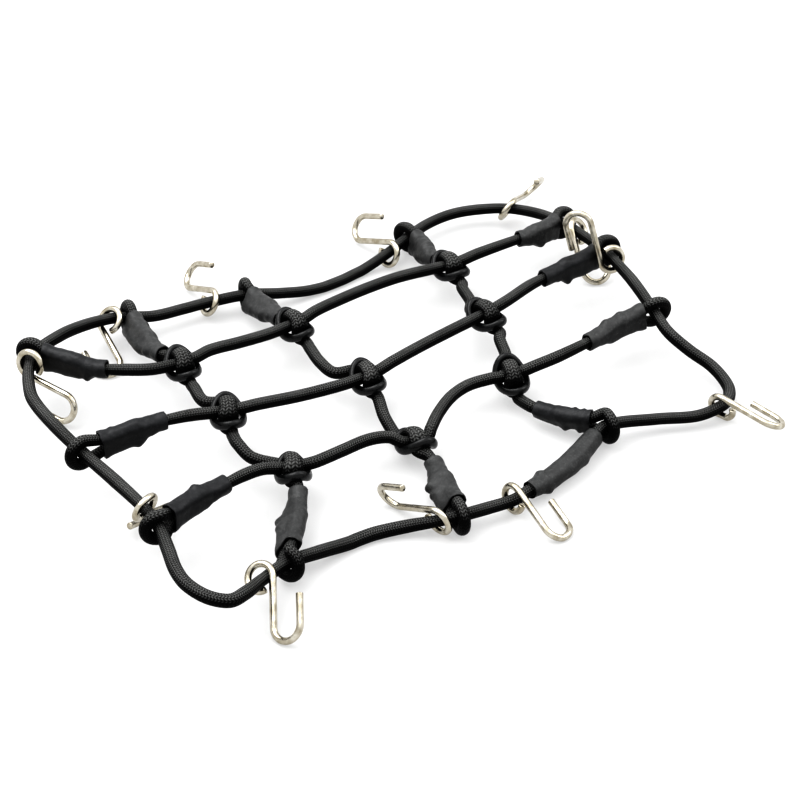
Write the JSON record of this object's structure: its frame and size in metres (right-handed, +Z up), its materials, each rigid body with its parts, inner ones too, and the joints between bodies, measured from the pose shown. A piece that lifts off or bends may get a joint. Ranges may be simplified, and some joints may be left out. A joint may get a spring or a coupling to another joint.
{
  "type": "cargo net",
  "caption": "Small elastic cargo net lying loosely: braided cords in a grid, clamped at their crossings, looped and sleeved to an edge cord with wire hooks.",
  "frame": {"origin": "middle of the net's box, on the surface that the net lies on", "axes": "+X along the long cords, to the right; +Y along the cross cords, to the back; +Z up"},
  "size_m": [0.1484, 0.1214, 0.0218],
  "materials": {
    "braid": "round braided elastic cord, black with a dull sheen",
    "sleeve": "shrunk tubing, dark grey, matt",
    "ring": "smooth black rubber with a slight gloss",
    "hook": "bright nickel-plated wire"
  },
  "bodies": {
    "root": {"edge_cord": "braid", "long_1_cord": "braid", "long_2_cord": "braid", "long_3_cord": "braid", "cross_1_cord": "braid", "cross_2_cord": "braid", "cross_3_cord": "braid", "long_1_left_sleeve": "sleeve", "long_1_right_sleeve": "sleeve", "long_2_left_sleeve": "sleeve", "long_2_right_sleeve": "sleeve", "long_3_left_sleeve": "sleeve", "long_3_right_sleeve": "sleeve", "cross_1_back_sleeve": "sleeve", "cross_1_front_sleeve": "sleeve", "cross_2_back_sleeve": "sleeve", "cross_2_front_sleeve": "sleeve", "cross_3_back_sleeve": "sleeve", "cross_3_front_sleeve": "sleeve", "splice_sleeve": "sleeve", "ring_cross_1_long_1": "ring", "ring_cross_2_long_1": "ring", "ring_cross_3_long_1": "ring", "ring_cross_1_long_2": "ring", "ring_cross_2_long_2": "ring", "ring_cross_3_long_2": "ring", "ring_cross_1_long_3": "ring", "ring_cross_2_long_3": "ring", "ring_cross_3_long_3": "ring", "hook_1": "hook", "hook_2": "hook", "hook_3": "hook", "hook_4": "hook", "hook_5": "hook", "hook_6": "hook", "hook_7": "hook", "hook_8": "hook", "hook_9": "hook", "hook_10": "hook", "hook_11": "hook", "hook_12": "hook"}
  },
  "joints": []
}
